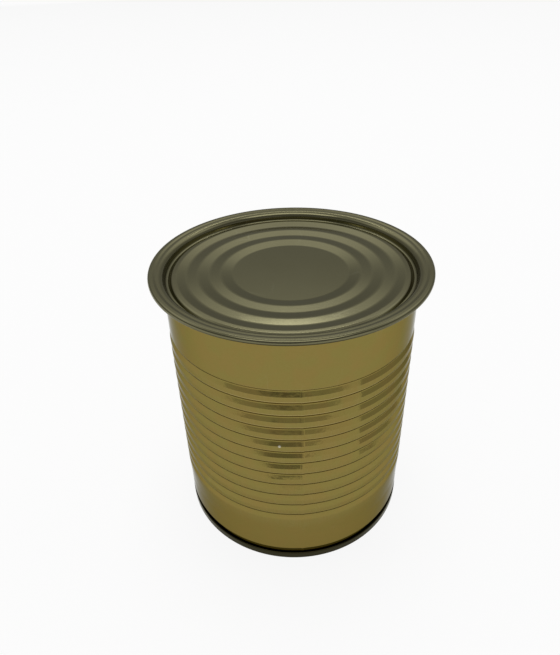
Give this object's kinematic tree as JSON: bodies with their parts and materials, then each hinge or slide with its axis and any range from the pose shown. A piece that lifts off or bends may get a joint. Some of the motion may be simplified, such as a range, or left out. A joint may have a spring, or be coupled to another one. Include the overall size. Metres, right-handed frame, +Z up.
{
  "type": "empty tin can",
  "caption": "Open-topped beaded tinplate food can with a double-seamed bottom end and a loose, unseamed lid resting on its flange.",
  "frame": {"origin": "centre of the foot, on the plane the can stands on", "axes": "+Z up the can's axis; -Y is the side with the welded lap, near the front"},
  "size_m": [0.1094, 0.1094, 0.1176],
  "materials": {
    "gold_lacquer": "bright tinplate under clear gold lacquer",
    "end_lacquer": "satin tinplate under olive-grey lacquer"
  },
  "bodies": {
    "root": {"can_body": "gold_lacquer", "bottom_end": "end_lacquer", "lid": "end_lacquer"}
  },
  "joints": []
}
